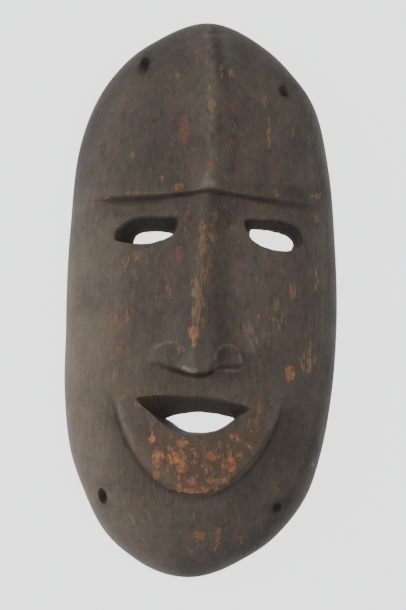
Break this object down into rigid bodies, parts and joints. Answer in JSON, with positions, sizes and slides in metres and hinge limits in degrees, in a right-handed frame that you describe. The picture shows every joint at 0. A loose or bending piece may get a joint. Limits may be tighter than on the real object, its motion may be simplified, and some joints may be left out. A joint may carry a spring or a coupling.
{
  "type": "carved wooden mask",
  "caption": "Long oval carved wooden face mask with a hollow back, slit eyes, an open mouth, a wedge nose and a stepped U-shaped jaw.",
  "frame": {"origin": "middle of the outline's box, in the plane of the flat back rim", "axes": "+Z out of the face, +Y from the chin to the crown, +X to the right as seen from the front; the mask lies face up"},
  "size_m": [0.2102, 0.431, 0.0839],
  "materials": {
    "wood": "matt dark brown wood under grey dust, with vertical grain and flecks of worn orange and red paint"
  },
  "bodies": {
    "root": {"mask": "wood"}
  },
  "joints": []
}
